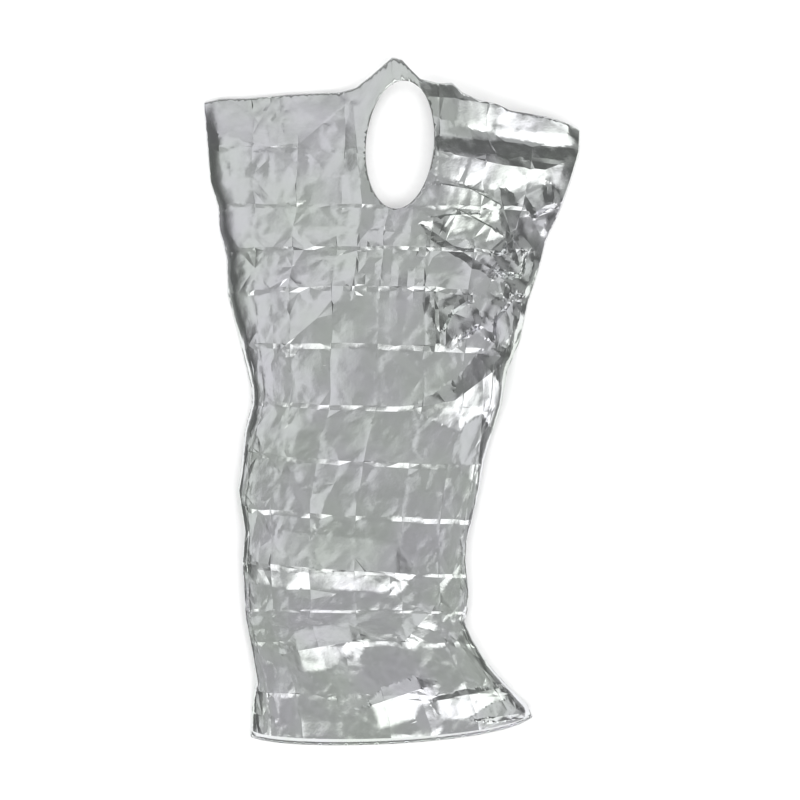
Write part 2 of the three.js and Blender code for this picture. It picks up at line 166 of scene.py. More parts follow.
# The main folds, from one end to the other. Each is a low roof along its line, or a trough where its rise
# is negative: how far it rises at each end, and how steeply its left and right side fall, in degrees,
# as seen along it
FOLDS = table(("x0", "y0", "rise0", "x1", "y1", "rise1", "left", "right"), [
    (-0.447, 0.650, 0.006, -0.295, 0.617, 0.006, 3.5, 4),
    (-0.295, 0.617, 0.006, -0.222, 0.626, 0.006, 3.5, 4),
    (-0.222, 0.626, 0.006, -0.114, 0.720, 0.003, 3.5, 4),
    (-0.338, 0.735, 0.0015, -0.333, 0.675, 0.001, 6, 6),
    (-0.305, 0.735, 0.0015, -0.302, 0.675, 0.001, 6, 6),
    (-0.273, 0.735, 0.0015, -0.270, 0.675, 0.001, 6, 6),
    (-0.247, 0.626, 0.003, -0.230, 0.486, 0.003, 5, 6),
    (-0.094, 0.715, 0.003, -0.073, 0.486, 0.003, 6, 6),
    (-0.073, 0.486, 0.003, -0.097, 0.244, 0.003, 6, 6),
    (0.090, 0.735, 0.012, 0.160, 0.728, 0.018, 14, 17),
    (0.160, 0.728, 0.018, 0.262, 0.712, 0.019, 22, 16),
    (0.262, 0.712, 0.019, 0.450, 0.664, 0.014, 22, 15),
    (0.116, 0.640, -0.003, 0.273, 0.629, -0.003, 6, 4),
    (0.273, 0.629, -0.003, 0.445, 0.612, -0.003, 6, 4),
    (0.112, 0.602, 0.009, 0.268, 0.570, 0.011, 11, 9),
    (0.268, 0.570, 0.011, 0.370, 0.560, 0.011, 11, 9),
    (0.370, 0.560, 0.011, 0.445, 0.590, 0.009, 13, 9),
    (0.122, 0.523, 0.007, 0.190, 0.512, 0.008, 62, 7),
    (0.190, 0.512, 0.008, 0.255, 0.478, 0.007, 62, 7),
    (0.128, 0.448, 0.008, 0.180, 0.452, 0.009, 62, 11),
    (0.180, 0.452, 0.009, 0.240, 0.420, 0.008, 62, 11),
    (0.262, 0.498, 0.007, 0.300, 0.360, 0.007, 11, 22),
    (0.097, 0.413, -0.007, 0.165, 0.366, -0.008, 15, 22),
    (0.165, 0.366, -0.008, 0.237, 0.322, -0.007, 15, 22),
    (0.102, 0.250, 0.005, 0.106, 0.140, 0.005, 27, 13),
    (-0.102, 0.268, 0.004, -0.259, 0.135, 0.004, 4, 6),
    (0.056, -0.016, 0.002, 0.152, 0.003, 0.014, 16, 10),
    (0.152, 0.003, 0.014, 0.240, 0.070, 0.028, 26, 10),
    (0.225, 0.070, 0.007, 0.208, -0.167, 0.006, 17, 8),
    (-0.360, -0.094, 0.003, -0.283, -0.148, 0.003, 8, 4),
    (-0.283, -0.148, 0.003, -0.218, -0.251, 0.003, 8, 4),
    (-0.355, -0.251, 0.004, -0.338, -0.372, 0.004, 4, 8),
    (-0.324, -0.389, 0.009, -0.222, -0.399, 0.010, 7, 10),
    (-0.222, -0.399, 0.010, 0.007, -0.416, 0.009, 7, 11),
    (0.000, -0.457, 0.003, 0.024, -0.428, 0.004, 17, 10),
    (0.031, -0.578, 0.004, 0.092, -0.510, 0.004, 7, 7),
    (-0.227, -0.602, 0.008, -0.097, -0.580, 0.008, 10, 8),
    (-0.109, -0.622, 0.005, -0.102, -0.687, 0.005, 9, 9),
    (-0.102, -0.687, 0.005, -0.048, -0.733, 0.006, 7, 8),
    (-0.048, -0.733, 0.009, 0.068, -0.694, 0.010, 18, 8),
    (0.063, -0.699, 0.005, 0.097, -0.798, 0.004, 8, 8),
    (0.157, -0.578, 0.005, 0.249, -0.699, 0.006, 8, 8),
    (0.109, -0.723, 0.006, 0.259, -0.692, 0.008, 32, 7),
    (0.252, -0.762, 0.012, 0.322, -0.752, 0.011, 13, 40),
])
FOLD_END = math.tan(math.radians(10))

# Patches of pleats: their middles, their half sizes along and down the pleats, the way that the wide
# slopes face, in degrees from +X, the pleats' pitch and rise, and the share that is their narrow slope
PLEATS = table(("x", "y", "along", "down", "facing", "pitch", "rise", "back"), [
    (0.375, 0.470, 0.045, 0.060, 120, 0.070, 0.0160, 0.15),
    (0.300, 0.320, 0.065, 0.075, 130, 0.070, 0.0180, 0.15),
    (0.158, 0.200, 0.055, 0.060, 115, 0.064, 0.0150, 0.15),
    (0.262, 0.190, 0.050, 0.055, 150, 0.060, 0.0150, 0.15),
    (0.000, 0.330, 0.080, 0.080, -5, 0.040, 0.0014, 0.45),
])
# How far the pleats wander, as a share of their pitch, and in what steps, the share of a patch over which
# they fade at its edge, and how much the height of one differs from the next
PLEAT_WOBBLE = 0.35
PLEAT_WOBBLE_STEP = 0.045
PLEAT_END = 0.35
PLEAT_GAINS = (0.7, 1.15)
PLEAT_SLOTS = 20

# The smooth random lines: how many values each has, and which one lies at place 0
WOBBLE_VALUES = 400
WOBBLE_START = 100

# The crumple in three sizes: how far apart its corners lie and how far they rise or fall. CALM is how
# much of it there is anywhere, and the places below it have more.
CRUMPLES = [(0.075, 0.0016), (0.024, 0.0007), (0.0068, 0.00006)]
CALM = 0.36
LIVELY = table(("x", "y", "radius", "more"), [
    (0.30, 0.66, 0.16, 0.05), (0.20, 0.52, 0.18, 0.05), (0.27, 0.40, 0.14, 0.3), (0.18, 0.20, 0.14, 0.3),
    (0.12, -0.70, 0.10, 0.05), (-0.31, -0.77, 0.05, 0.8), (-0.19, -0.33, 0.08, 0.4),
    (-0.32, -0.20, 0.12, 0.15), (-0.22, 0.18, 0.16, 0.2), (-0.26, 0.42, 0.16, 0.2),
])

# How the film is cut into triangles, which is worked out in millimetres. A chain is a line of corners
# that edges follow, such as a crease or a fold.
TO_MM = 1000.0
CDT_TOLERANCE = 1e-4
SCATTER = 0.36
CHAIN_CLEARANCE = 0.55
CHAIN_LIMIT = 0.985
CHAIN_MARGIN = 0.03
CHAIN_STEPS = 4
FOLD_CORNERS = 5
PLEAT_CORNERS = 7
FACE_CORNERS = 73
NARROW_SIDE = 0.02
RAY_START = 500
RAY_TOLERANCE = 1e-3
SHARP_ANGLE = math.radians(9)

# The searches for a turn and for a film place: the widest share, the rounds and the row to start at
WIDEST_SHARE = 0.9999
TURN_ROUNDS = 5
PLACE_ROUNDS = 12
FIRST_ROW = 6.0


def row_value(column, row):
    """A column of the table of rows, at any row."""
    return np.interp(row, ROWS["row"], ROWS[column])


def edge_at(edge, y):
    """The x of a side edge at the height y in plan."""
    return np.interp(y, edge["y"][::-1], edge["x"][::-1])


def line_height(across, row):
    """The y in plan of a line of the film."""
    left, middle, right = (row_value(name, row) for name in ("left", "middle", "right"))
    sag = middle - (left + right) / 2
    return left + (right - left) * (across + 1) / 2 + sag * (1 - across**2)


def turn_angle(half_width):
    """How far the film is turned away at the sides where it lies narrower than the mouth."""
    share = np.minimum(half_width / HALF_MOUTH, WIDEST_SHARE)
    angle = np.sqrt(6 * (1 - share))
    for _ in range(TURN_ROUNDS):
        error = np.sin(angle) / angle - share
        angle = angle - error * angle**2 / (angle * np.cos(angle) - np.sin(angle))
    return angle


def side_slope(side, row):
    """How steeply the sheet comes down to its left or right side, in radians."""
    return np.radians(row_value("slope_left" if side < 0 else "slope_right", row))


def width_at(row, inset=None):
    """The middle, half width and turn of the film between its rolls."""
    left = edge_at(LEFT_EDGE, line_height(-1, row))
    right = edge_at(RIGHT_EDGE, line_height(1, row))
    inset_left = ROLL * (1 - np.sin(side_slope(-1, row))) if inset is None else inset
    inset_right = ROLL * (1 - np.sin(side_slope(1, row))) if inset is None else inset
    middle = (left + inset_left + right - inset_right) / 2
    half = (right - inset_right - left - inset_left) / 2
    return middle, half, turn_angle(half)


def in_plan(across, row, inset=None):
    """The place in plan of a point of the film."""
    middle, half, angle = width_at(row, inset)
    x = middle + half * np.sin(angle * across) / np.sin(angle)
    to_mouth = np.interp(x, MOUTH_EDGE["x"], MOUTH_EDGE["y"]) - line_height(across, 0.0)
    y = line_height(across, row) + to_mouth * np.maximum(0, 1 - row)
    return x, y


def film_of(x, y):
    """The place on the film of a point in plan, as across and row."""
    across = 0.0
    row = FIRST_ROW
    for _ in range(PLACE_ROUNDS):
        middle, half, angle = width_at(row)
        across = math.asin(float(np.clip((x - middle) / half * math.sin(angle), -1, 1))) / float(angle)
        heights = in_plan(across, ROWS["row"])[1]
        row = float(np.interp(-y, -heights, ROWS["row"]))
    return across, row


def tent(distance, reach):
    """1 at a line, falling evenly to 0 at the reach."""
    return np.maximum(0, 1 - np.abs(distance) / reach)


def round_bump(distance, reach):
    """1 at a line, falling in a smooth curve to 0 at the reach."""
    return np.cos(np.clip(distance / reach, -1, 1) * math.pi / 2) ** 2


def mound(shape, x, y):
    """Rise of a low mound that reaches a different way to each side."""
    aside = np.where(x < shape["x"], shape["left"], shape["right"])
    along = np.where(y < shape["y"], shape["below"], shape["above"])
    return shape["rise"] * round_bump(x - shape["x"], aside) * round_bump(y - shape["y"], along)


class Wobble:
    """A smooth random line: values dealt out at even steps, with smooth turns between them."""

    def __init__(self, random, step):
        self.step = step
        self.values = random.uniform(-1, 1, WOBBLE_VALUES)

    def at(self, place):
        steps = np.asarray(place) / self.step + WOBBLE_START
        low = np.floor(steps).astype(int)
        share = steps - low
        share = share * share * (3 - 2 * share)
        return self.values[low] * (1 - share) + self.values[low + 1] * share


def crease_wobbles(random):
    """All that is random about the creases, the cells and the pleats, dealt out in one order."""
    rows = [Wobble(random, ROW_CREASE["step"]) for _ in range(STRIPS_DOWN + 1)]
    columns = [Wobble(random, COLUMN_CREASE["step"]) for _ in range(STRIPS_ACROSS + 1)]
    gains = random.uniform(*CREASE_GAINS, (STRIPS_DOWN + 1, STRIPS_ACROSS + 2))
    swells = random.uniform(*CELL_SWELLS, (STRIPS_DOWN + 1, STRIPS_ACROSS + 1))
    pleats = [Wobble(random, PLEAT_WOBBLE_STEP) for _ in PLEATS["x"]]
    pleat_gains = random.uniform(*PLEAT_GAINS, (len(pleats), PLEAT_SLOTS))
    return {
        "rows": rows, "columns": columns, "gains": gains, "swells": swells,
        "pleats": pleats, "pleat_gains": pleat_gains,
    }


def strip_across(u):
    """How many strips a place lies from the left side."""
    return np.clip((u / HALF_MOUTH + 1) / 2 * STRIPS_ACROSS, 0, STRIPS_ACROSS - LAST_STRIP)


def strip_down(v):
    """How many strips a place lies from the mouth."""
    return np.clip(v / STRIP_LENGTH, 0, STRIPS_DOWN - LAST_STRIP)


def row_crease_relief(u, v, wobbles):
    """Rise of the creases that cross the sheet: a gentle slope above and a short steep one below."""
    height = np.zeros_like(u)
    across = np.clip(u / HALF_MOUTH, -1, 1)
    strip = strip_across(u)
    for i, row in enumerate(ROW_CREASES["row"].astype(int)):
        line = row * STRIP_LENGTH + ROW_CREASE["wobble"] * wobbles["rows"][row].at(u)
        strengths = [ROW_CREASES[name][i] for name in ("left", "middle", "right")]
        strength = np.interp(across, (-1, 0, 1), strengths)
        gain = strength * np.interp(strip, np.arange(STRIPS_ACROSS + 2), wobbles["gains"][row])
        below = v - line
        shape = np.where(below < 0, tent(below, ROW_CREASE["above"]), tent(below, ROW_CREASE["below"]))
        height += ROW_CREASE["rise"] * gain * shape
    return height


def column_crease_relief(u, v, wobbles):
    """Rise of the creases that run down the sheet."""
    height = np.zeros_like(u)
    rows = np.floor(strip_down(v)).astype(int)
    for column in range(1, STRIPS_ACROSS):
        wobble = COLUMN_CREASE["wobble"] * wobbles["columns"][column].at(v)
        line = -HALF_MOUTH + column * STRIP_WIDTH + wobble
        gain = wobbles["gains"][rows, column]
        sign = -1 if column % 2 else 1
        height += sign * COLUMN_CREASE["rise"] * gain * tent(u - line, COLUMN_CREASE["reach"])
    return height


def cell_relief(u, v, wobbles):
    """Swell of each cell between the creases."""
    strip = strip_across(u)
    row = strip_down(v)
    i = np.floor(strip).astype(int)
    j = np.floor(row).astype(int)
    cell = np.sin(math.pi * (strip - i)) * np.sin(math.pi * (row - j))
    return CELL_SWELL * wobbles["swells"][j, i] * cell


def fold_relief(x, y):
    """Height of the main folds at places in plan: the highest roof there, less the deepest trough."""
    crest = np.zeros_like(x)
    trough = np.zeros_like(x)
    for x0, y0, rise0, x1, y1, rise1, left, right in zip(*FOLDS.values()):
        length = math.hypot(x1 - x0, y1 - y0)
        along = ((x - x0) * (x1 - x0) + (y - y0) * (y1 - y0)) / length
        off = ((y - y0) * (x1 - x0) - (x - x0) * (y1 - y0)) / length
        past = np.maximum(0, np.maximum(-along, along - length))
        rise = rise0 + (rise1 - rise0) * np.clip(along / length, 0, 1)
        fall_left = off * math.tan(math.radians(left))
        fall_right = -off * math.tan(math.radians(right))
        fall = np.where(off > 0, fall_left, fall_right)
        roof = np.maximum(0, np.abs(rise) - fall - past * FOLD_END)
        if rise0 > 0:
            crest = np.maximum(crest, roof)
        else:
            trough = np.maximum(trough, roof)
    return crest - trough


def pleat_frame(facing, x, y):
    """How far places lie down a patch's slopes, and how far along its pleats."""
    turn = math.radians(facing)
    return x * math.cos(turn) + y * math.sin(turn), y * math.cos(turn) - x * math.sin(turn)


def pleat_relief(x, y, wobbles):
    """Rise of the pleated patches: narrow steep backs, and wide slopes that all face one way."""
    height = np.zeros_like(x)
    for i, patch in enumerate(zip(*PLEATS.values())):
        centre_x, centre_y, along, down, facing, pitch, rise, back = patch
        fall, side = pleat_frame(facing, x - centre_x, y - centre_y)
        step = (fall + pitch * PLEAT_WOBBLE * wobbles["pleats"][i].at(side)) / pitch
        share = step - np.floor(step)
        saw = np.where(share < back, share / back, (1 - share) / (1 - back))
        slot = np.clip(np.floor(step).astype(int) + PLEAT_SLOTS // 2, 0, PLEAT_SLOTS - 1)
        gain = wobbles["pleat_gains"][i][slot]
        inside = np.clip((1 - np.abs(side) / along) / PLEAT_END, 0, 1)
        inside = inside * np.clip((1 - np.abs(fall) / down) / PLEAT_END, 0, 1)
        height += rise * gain * saw * inside
    return height


def liveliness(x, y):
    """How crumpled the film is at places in plan."""
    gain = np.full_like(x, CALM)
    for spot_x, spot_y, radius, more in zip(*LIVELY.values()):
        gain += more * np.exp(-((x - spot_x) ** 2 + (y - spot_y) ** 2) / radius**2)
    return gain


def plan_of_film(u, v):
    """Plan places for film places in metres, the rolls taken as the side edges."""
    return in_plan(np.clip(u / HALF_MOUTH, -1, 1), v / STRIP_LENGTH)


def lie(u, v, crumple, wobbles):
    """Where points of the front sheet lie: between the side rolls, and on them."""
    row = v / STRIP_LENGTH
    across = np.clip(u / HALF_MOUTH, -1, 1)
    x, y = in_plan(across, row)
    half = width_at(row)[1]
    slope_left, slope_right = side_slope(-1, row), side_slope(1, row)
    drop_left = ROLL * (np.cos(slope_left) - math.sin(ROLL_END))
    drop_right = ROLL * (np.cos(slope_right) - math.sin(ROLL_END))
    side = WELD_SEAT + drop_left + (drop_right - drop_left) * (across + 1) / 2
    weld = np.clip((row - FOOT_FADE[0]) / (FOOT_FADE[1] - FOOT_FADE[0]), 0, 1)
    seat = WELD_SEAT + FILM
    base = side + (seat - side) * weld * (1 - np.abs(across) ** FOOT_FLATNESS)
    slope = np.where(across < 0, slope_left, slope_right)
    rise = row_value("crest", row)
    flatness = np.tan(slope) * half / np.maximum(rise, LEAST_RISE)
    flatness = np.clip(flatness, LEAST_FLATNESS, MOST_FLATNESS)
    crest = rise * (1 - np.abs(across) ** flatness)
    fade = np.clip((1 - np.abs(across)) / SIDE_FADE, 0, 1) * (1 - weld)
    creases = row_crease_relief(u, v, wobbles) + column_crease_relief(u, v, wobbles)
    relief = creases + cell_relief(u, v, wobbles) + fold_relief(x, y)
    relief = relief + pleat_relief(x, y, wobbles) + crumple
    stand = base + crest + fade * relief + mound(HOOD, x, y)
    z = np.maximum(stand, LEAST_STAND + (seat - LEAST_STAND) * weld)

    past = np.clip((np.abs(u) - HALF_MOUTH) / ROLL_FILM, 0, 1)
    first = math.pi / 2 - slope
    turn = first + (ROLL_END - first) * past
    swollen = ROLL + ROLL_CRUMPLE * crumple * np.sin(math.pi * past)
    on_roll = past > 0
    out = swollen * np.cos(turn) - ROLL * np.cos(first)
    x = np.where(on_roll, x + np.sign(u) * out, x)
    z = np.where(on_roll, WELD_SEAT - ROLL * math.sin(ROLL_END) + swollen * np.sin(turn), z)
    return np.stack([x, y, z], axis=1)


def scattered(random, spacing):
    """Points over the whole film, about as far apart as the spacing says, in millimetres."""
    half = (HALF_MOUTH + ROLL_FILM) * TO_MM
    length = STRIPS_DOWN * STRIP_LENGTH * TO_MM
    step = spacing * TO_MM
    rows = []
    for j, v in enumerate(np.arange(step / 2, length, step * math.sqrt(3) / 2)):
        us = np.arange(-half + step * (0.25 + 0.5 * (j % 2)), half, step)
        rows.append(np.stack([us, np.full_like(us, v)], axis=1))
    points = np.concatenate(rows)
    points += random.uniform(-SCATTER, SCATTER, points.shape) * step
    margin = step / 3
    inside = (np.abs(points[:, 0]) < half - margin) & (points[:, 1] > margin)
    return points[inside & (points[:, 1] < length - margin)]


def divided(chain, spacing):
    """The points of a chain, with more put in so that no link is much longer than the spacing."""
    result = [chain[0]]
    for a, b in zip(chain, chain[1:]):
        a, b = np.asarray(a, dtype=float), np.asarray(b, dtype=float)
        count = max(1, round(float(np.linalg.norm(b - a)) / (spacing * TO_MM)))
        result += [a + (b - a) * k / count for k in range(1, count + 1)]
    return result


def clear_of(points, chains, distance):
    """The points that are at least the distance from every corner of the chains."""
    corners = [corner for chain in chains for corner in chain]
    tree = KDTree(len(corners))
    for i, (u, v) in enumerate(corners):
        tree.insert((u, v, 0), i)
    tree.balance()
    far = [tree.find((u, v, 0))[2] > distance * TO_MM for u, v in points]
    return points[np.array(far)]


def triangulate(points, chains):
    """Corners, edges and faces of the triangles between the points, with the chains among the edges."""
    corners = [Vector(point) for point in points]
    links = []
    for chain in chains:
        first = len(corners)
        corners += [Vector(point) for point in chain]
        links += [(first + k, first + k + 1) for k in range(len(chain) - 1)]
    found, edges, faces = delaunay_2d_cdt(corners, links, [], 0, CDT_TOLERANCE)[:3]
    return np.array([tuple(corner) for corner in found]), edges, faces


def heights_on(corners, faces, heights, points):
    """The heights of a faceted surface at points inside it."""
    solid = [(u, v, h) for (u, v), h in zip(corners, heights)]
    tree = BVHTree.FromPolygons(solid, faces, epsilon=RAY_TOLERANCE)
    result = []
    for u, v in points:
        hit = tree.ray_cast(Vector((u, v, RAY_START)), Vector((0, 0, -1)))[0]
        if hit is None:
            hit = tree.find_nearest(Vector((u, v, 0)))[0]
        result.append(hit.z)
    return np.array(result)


def crease_chains(wobbles):
    """The lines of the packing creases on the film, in film millimetres."""
    half = HALF_MOUTH * TO_MM
    length = STRIPS_DOWN * STRIP_LENGTH * TO_MM
    chains = []
    for row in range(1, STRIPS_DOWN):
        us = np.linspace(-half, half, CHAIN_STEPS * STRIPS_ACROSS + 1)
        wobble = ROW_CREASE["wobble"] * wobbles["rows"][row].at(us / TO_MM) * TO_MM
        for shift in (0, ROW_CREASE["below"] * TO_MM):
            chains.append(list(zip(us, row * STRIP_LENGTH * TO_MM + wobble + shift)))
    for row in FOOT_LINES:
        chains.append([(-half, row * STRIP_LENGTH * TO_MM), (half, row * STRIP_LENGTH * TO_MM)])
    for side in (-half, half):
        chains.append([(side, 0), (side, length)])
    for column in range(1, STRIPS_ACROSS):
        vs = np.linspace(0, length, CHAIN_STEPS * STRIPS_DOWN + 1)
        wobble = COLUMN_CREASE["wobble"] * wobbles["columns"][column].at(vs / TO_MM) * TO_MM
        chains.append(list(zip(-half + column * STRIP_WIDTH * TO_MM + wobble, vs)))
    return chains


def chain_of_plan(places):
    """A line of places in plan as a chain on the film, in millimetres, cut off at the film's edges."""
    chain = []
    for x, y in places:
        across, row = film_of(x, y)
        if abs(across) < CHAIN_LIMIT and CHAIN_MARGIN < row < STRIPS_DOWN - CHAIN_MARGIN:
            chain.append((across * HALF_MOUTH * TO_MM, row * STRIP_LENGTH * TO_MM))
    return chain


def fold_chains():
    """The crests of the main folds on the film, and the feet of their steep sides."""
    shares = np.linspace(0, 1, FOLD_CORNERS)
    chains = []
    for x0, y0, _, x1, y1, rise1, left, right in zip(*FOLDS.values()):
        chains.append(chain_of_plan(zip(x0 + (x1 - x0) * shares, y0 + (y1 - y0) * shares)))
        length = math.hypot(x1 - x0, y1 - y0)
        for side, slope in ((1, left), (-1, right)):
            width = abs(rise1) / math.tan(math.radians(slope))
            if width < NARROW_SIDE:
                foot_x = x0 + (x1 - x0) * shares - side * width * (y1 - y0) / length
                foot_y = y0 + (y1 - y0) * shares + side * width * (x1 - x0) / length
                chains.append(chain_of_plan(zip(foot_x, foot_y)))
    return [chain for chain in chains if len(chain) > 1]


def pleat_chains(wobbles):
    """The crests and troughs of the pleated patches on the film."""
    sides = np.linspace(-1, 1, PLEAT_CORNERS)
    chains = []
    for i, patch in enumerate(zip(*PLEATS.values())):
        centre_x, centre_y, along, down, facing, pitch, _, back = patch
        turn = math.radians(facing)
        for number in range(math.ceil(-down / pitch), math.floor(down / pitch) + 1):
            for share in (number, number + back):
                fall = pitch * (share - PLEAT_WOBBLE * wobbles["pleats"][i].at(along * sides))
                x = centre_x + fall * math.cos(turn) - along * sides * math.sin(turn)
                y = centre_y + fall * math.sin(turn) + along * sides * math.cos(turn)
                chains.append(chain_of_plan(zip(x, y)))
    return [chain for chain in chains if len(chain) > 1]


def face_chain():
    """The face opening's edge on the film."""
    angles = np.linspace(0, 2 * math.pi, FACE_CORNERS)
    a = FACE["half_width"] * np.cos(angles)
    b = FACE["half_height"] * np.sin(angles)
    x = FACE["x"] + a * math.cos(FACE["lean"]) + b * math.sin(FACE["lean"])
    y = FACE["y"] - a * math.sin(FACE["lean"]) + b * math.cos(FACE["lean"])
    return chain_of_plan(zip(x, y))


def rim_chain(spacing):
    """The edge of the whole film, with the parts that roll down at the sides."""
    half = (HALF_MOUTH + ROLL_FILM) * TO_MM
    length = STRIPS_DOWN * STRIP_LENGTH * TO_MM
    corners = [(-half, 0), (half, 0), (half, length), (-half, length), (-half, 0)]
    return divided(corners, spacing)


def crumpled_film(random, wobbles):
    """The film's triangles, and how far the crumple lifts each of their corners."""
    chains = crease_chains(wobbles) + fold_chains() + pleat_chains(wobbles)
    corners, faces, heights = None, None, None
    for spacing, rise in CRUMPLES:
        chains = [divided(chain, spacing) for chain in chains]
        if spacing == CRUMPLES[-1][0]:
            chains.append(divided(face_chain(), spacing))
        chains.append(rim_chain(spacing))
        points = clear_of(scattered(random, spacing), chains, CHAIN_CLEARANCE * spacing)
        finer, edges, finer_faces = triangulate(points, chains)
        before = np.zeros(len(finer)) if corners is None else heights_on(corners, faces, heights, finer)
        x, y = plan_of_film(finer[:, 0] / TO_MM, finer[:, 1] / TO_MM)
        heights = before + rise * TO_MM * liveliness(x, y) * random.normal(0, 1, len(finer))
        corners, faces = finer, finer_faces
        chains = [[corners[a], corners[b]] for a, b in edges]
    return corners / TO_MM, faces, heights / TO_MM


def inside_face(x, y):
    """Whether places in plan are inside the face opening."""
    dx, dy = x - FACE["x"], y - FACE["y"]
    a = dx * math.cos(FACE["lean"]) - dy * math.sin(FACE["lean"])
    b = dx * math.sin(FACE["lean"]) + dy * math.cos(FACE["lean"])
    return (a / FACE["half_width"]) ** 2 + (b / FACE["half_height"]) ** 2 < 1


def sheet_object(name, places, faces, film_places, materials):
    """A thin sheet with an outer and an inner face, and the film's own places as its UV map."""
    mesh = bpy.data.meshes.new(name)
    mesh.from_pydata([tuple(place) for place in places], [], faces)
    uv = mesh.uv_layers.new(name="film")
    loops = np.empty(len(mesh.loops), dtype=np.int32)
    mesh.loops.foreach_get("vertex_index", loops)
    uv.data.foreach_set("uv", film_places[loops].astype(np.float32).ravel())
    for material in materials:
        mesh.materials.append(material)
    mesh.shade_smooth()
    mesh.set_sharp_from_angle(angle=SHARP_ANGLE)
    sheet = bpy.data.objects.new(name, mesh)
    bpy.context.collection.objects.link(sheet)
    wall = sheet.modifiers.new("film", "SOLIDIFY")
    wall.thickness = FILM
    wall.offset = -1
    wall.use_rim = True
    wall.material_offset = 1
    plain = bpy.data.meshes.new_from_object(sheet.evaluated_get(bpy.context.evaluated_depsgraph_get()))
    sheet.modifiers.clear()
    sheet.data = plain
    plain.name = name
    return sheet


def front_sheet(materials):
    """The creased sheet above, with the face opening cut out of it."""
    random = np.random.default_rng(SEED)
    wobbles = crease_wobbles(random)
    film, faces, crumple = crumpled_film(random, wobbles)
    places = lie(film[:, 0], film[:, 1], crumple, wobbles)
    corners = np.array(faces)
    centres = film[corners].mean(axis=1)
    centre_x, centre_y = plan_of_film(centres[:, 0], centres[:, 1])
    kept = corners[~inside_face(centre_x, centre_y)]
    used = np.unique(kept)
    number = np.zeros(len(film), dtype=int)
    number[used] = np.arange(len(used))
    kept = number[kept][:, ::-1]
    return sheet_object("foil_front", places[used], kept.tolist(), film[used], materials)


def back_sheet(materials):
    """The sheet below, which lies flat and keeps the grid of its packing creases."""
    random = np.random.default_rng(SEED + 1)
    wobbles = crease_wobbles(random)
    across = np.linspace(-1, 1, BACK_STEPS_ACROSS * STRIPS_ACROSS + 1)
    rows = np.linspace(0, STRIPS_DOWN, BACK_STEPS_DOWN * STRIPS_DOWN + 1)
    grid_across, grid_rows = (grid.ravel() for grid in np.meshgrid(across, rows))
    x, y = in_plan(grid_across, grid_rows, BACK_INSET)
    u, v = grid_across * HALF_MOUTH, grid_rows * STRIP_LENGTH
    creases = row_crease_relief(u, v, wobbles) + np.abs(column_crease_relief(u, v, wobbles))
    fade = np.clip((1 - np.abs(grid_across)) / SIDE_FADE, 0, 1)
    lift = np.clip(BACK_RELIEF * fade * creases, 0, WELD_SEAT - FILM - BACK_LEVEL)
    z = BACK_LEVEL + FILM + lift + BACK_CRUMPLE * random.uniform(0, 1, len(u)) * fade
    columns = len(across)
    faces = []
    for r in range(len(rows) - 1):
        for c in range(columns - 1):
            a = r * columns + c
            faces.append((a, a + columns, a + columns + 1, a + 1))
    film = np.stack([u, v], axis=1)
    return sheet_object("foil_back", np.stack([x, y, z], axis=1), faces, film, materials)


def principled(name):
    """A new material with one shader, and that shader's node."""
    material = bpy.data.materials.new(name)
    material.use_nodes = True
    return material, material.node_tree, material.node_tree.nodes["Principled BSDF"]


def linked(tree, kind, inputs, **settings):
    """A new node, with its inputs set to values or linked to sockets."""
    node = tree.nodes.new(kind)
    for name, value in settings.items():
        setattr(node, name, value)
    for key, value in inputs.items():
        if isinstance(value, bpy.types.NodeSocket):
            tree.links.new(value, node.inputs[key])
        else:
            node.inputs[key].default_value = value
    return node


def film_vector(tree):
    """The film places of a sheet, for patterns that follow it."""
    return linked(tree, "ShaderNodeUVMap", {}, uv_map="film").outputs["UV"]


def foil_material():
    """Bright metallised film: a grey mirror with faint green and lilac patches and fine wrinkles."""
    material, tree, shader = principled("foil")
    film = film_vector(tree)
    patches = linked(tree, "ShaderNodeTexNoise", {"Vector": film, "Scale": 5.0, "Detail": 3.0})
    tint = linked(tree, "ShaderNodeValToRGB", {"Fac": patches.outputs["Fac"]})
    tint.color_ramp.elements[0].position = 0.35
    tint.color_ramp.elements[0].color = (0.79, 0.83, 0.79, 1)
    tint.color_ramp.elements[1].position = 0.65
    tint.color_ramp.elements[1].color = (0.83, 0.825, 0.865, 1)
    tree.links.new(tint.outputs["Color"], shader.inputs["Base Color"])
    haze = linked(tree, "ShaderNodeTexNoise", {"Vector": film, "Scale": 60.0, "Detail": 4.0})
    rough = linked(tree, "ShaderNodeMapRange", {
        "Value": haze.outputs["Fac"], "From Min": 0.3, "From Max": 0.7, "To Min": 0.12, "To Max": 0.19,
    })
    tree.links.new(rough.outputs["Result"], shader.inputs["Roughness"])
    wrinkles = linked(tree, "ShaderNodeTexNoise", {
        "Vector": film, "Scale": 140.0, "Detail": 3.0, "Roughness": 0.6, "Distortion": 0.4,
    })
    bump = linked(tree, "ShaderNodeBump", {
        "Height": wrinkles.outputs["Fac"], "Strength": 0.15, "Distance": 0.001,
    })
    tree.links.new(bump.outputs["Normal"], shader.inputs["Normal"])
    shader.inputs["Metallic"].default_value = 1.0
    return material


